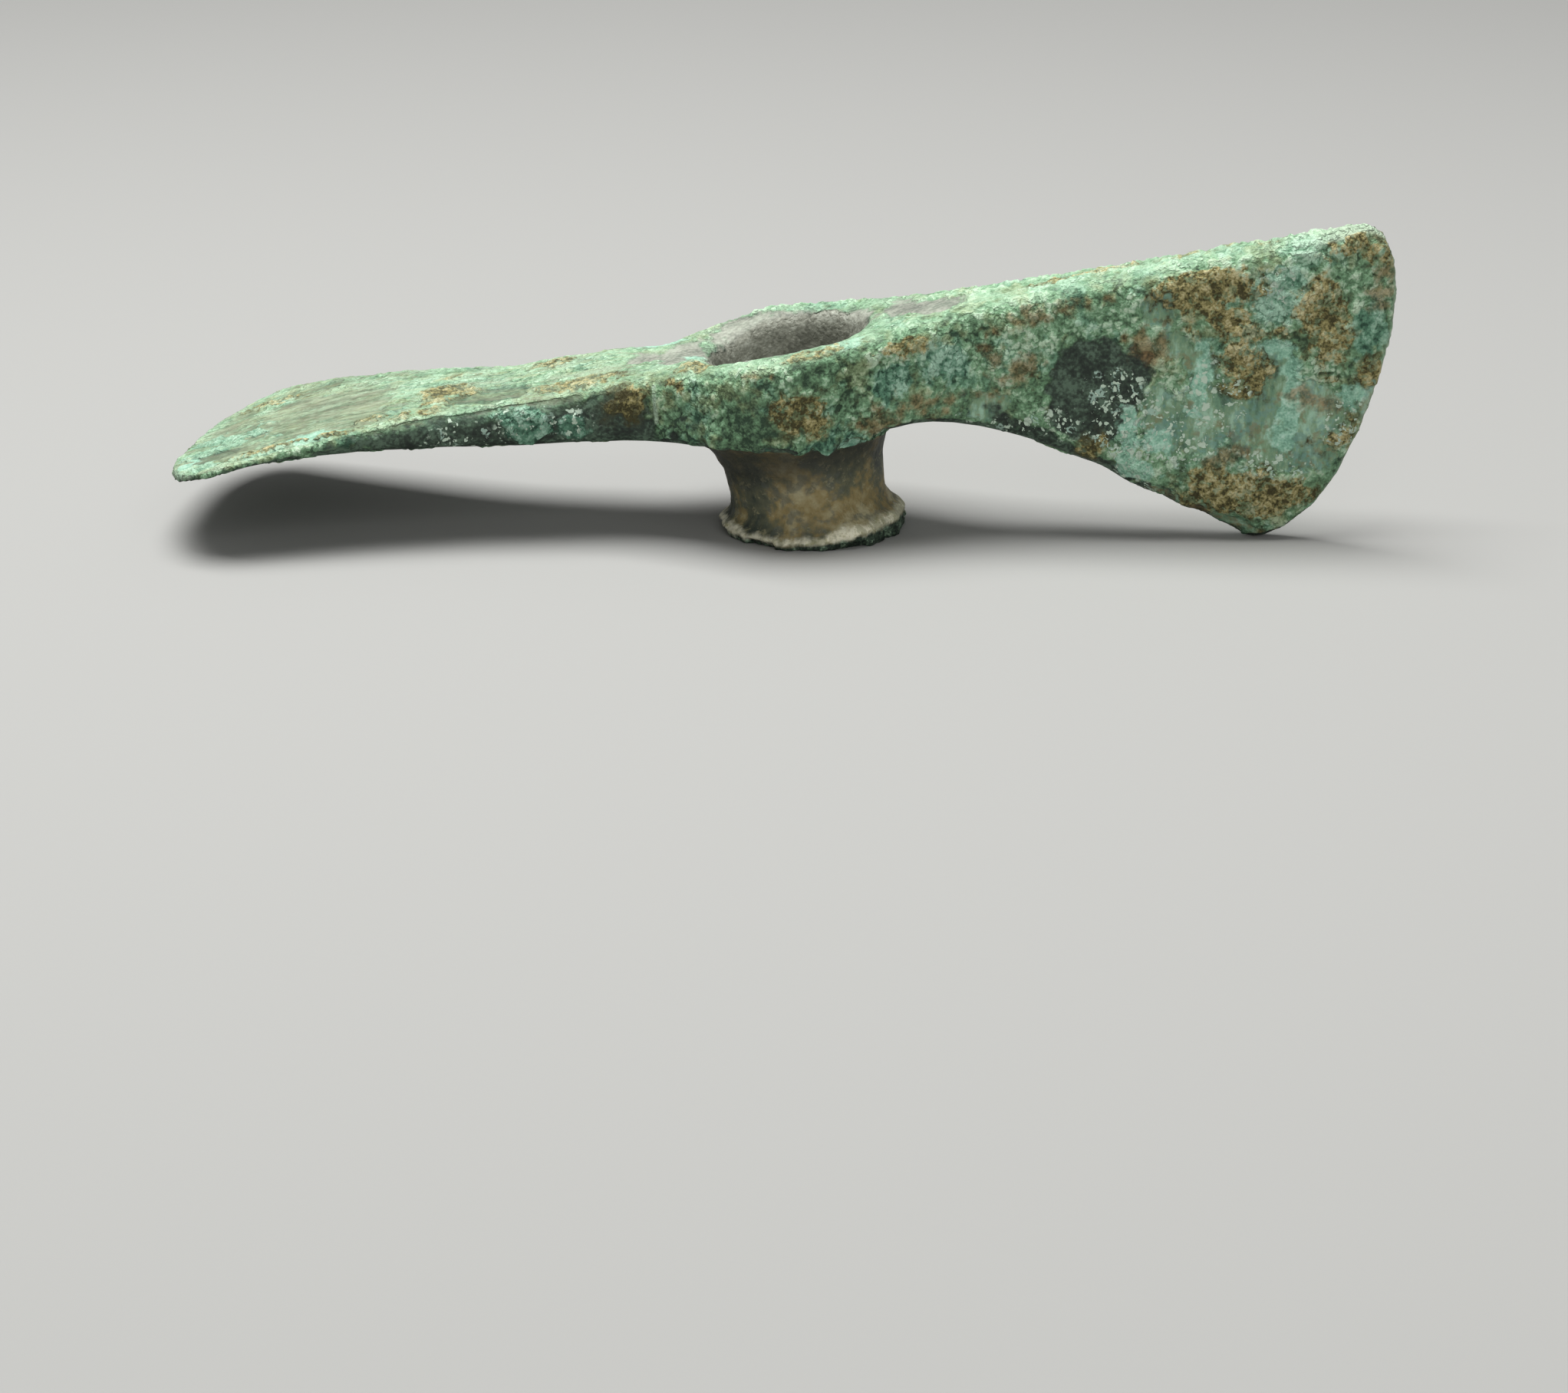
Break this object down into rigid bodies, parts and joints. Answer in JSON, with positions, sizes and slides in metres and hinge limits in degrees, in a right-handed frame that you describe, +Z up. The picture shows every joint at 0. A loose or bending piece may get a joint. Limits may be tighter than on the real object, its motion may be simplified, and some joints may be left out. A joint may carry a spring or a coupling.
{
  "type": "axe-adze head",
  "caption": "Cast bronze axe-adze head: upright axe blade and level adze blade either side of a lozenge hub with a collared haft hole.",
  "frame": {"origin": "on the floor under the middle of the head's outline, as it rests on its collar and the axe blade's lower horn", "axes": "+X towards the axe blade, -X towards the adze blade, +Z up, out of the haft hole's open mouth; the axe blade lies in the XZ plane and the adze blade spreads along Y"},
  "size_m": [0.2072, 0.0614, 0.0549],
  "materials": {
    "patinated_bronze": "crusted green corrosion with ochre soil and dark smooth patches"
  },
  "bodies": {
    "root": {"axe_adze_head": "patinated_bronze"}
  },
  "joints": []
}
